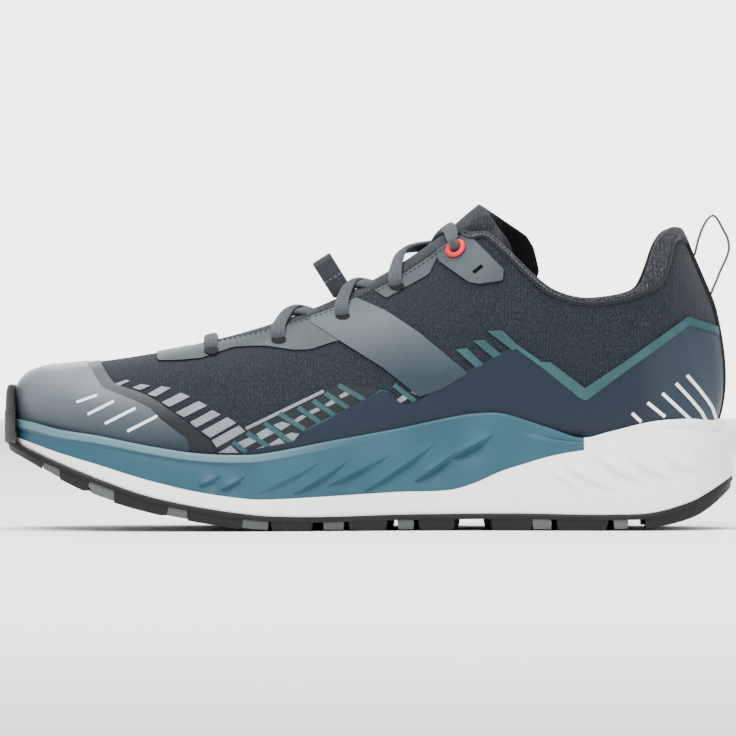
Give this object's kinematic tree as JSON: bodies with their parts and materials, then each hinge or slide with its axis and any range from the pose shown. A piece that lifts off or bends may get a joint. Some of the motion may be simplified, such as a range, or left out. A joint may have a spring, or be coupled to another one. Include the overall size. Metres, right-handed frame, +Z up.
{
  "type": "low hiking shoe",
  "caption": "Low hiking and trail-running shoe for the right foot, with knit upper, welded overlays, two-part foam midsole and lugged rubber sole.",
  "frame": {"origin": "on the floor, under the middle of the shoe's length and width", "axes": "+Z up, -X towards the toe, +X towards the heel, -Y towards the inner (medial) side"},
  "size_m": [0.2919, 0.1133, 0.1303],
  "materials": {
    "knit": "close dark blue-grey engineered knit with a melange of light threads",
    "lining": "soft brushed knit over foam padding",
    "tongue_knit": "padded grey knit",
    "board": "dark sock-liner cloth over foam",
    "foam": "moulded white foam, satin",
    "frame": "moulded teal foam, satin",
    "outsole_rubber": "matt dark rubber with lighter grey lugs",
    "toe_film": "smooth welded film, grey",
    "quarter_film": "smooth welded film, navy",
    "stay_film": "smooth welded film, grey green",
    "grommet": "moulded red eyelet ring",
    "lace": "flat woven grey lace",
    "webbing": "dark woven tape"
  },
  "bodies": {
    "root": {"upper": "knit", "collar": "lining", "tongue": "tongue_knit", "insole": "board", "midsole": "foam", "sole_frame": "frame", "outsole": "outsole_rubber", "toe_cap": "toe_film", "quarter_panel": "quarter_film", "front_stay": "stay_film", "saddle_inner": "stay_film", "upper_stay_inner": "stay_film", "eyelet_tab_inner": "stay_film", "grommet_inner": "grommet", "saddle_outer": "stay_film", "upper_stay_outer": "stay_film", "eyelet_tab_outer": "stay_film", "grommet_outer": "grommet", "lace_bar": "lace", "lace_cross_1": "lace", "lace_cross_2": "lace", "lace_cross_3": "lace", "lace_keeper": "webbing", "heel_loop": "webbing"}
  },
  "joints": []
}
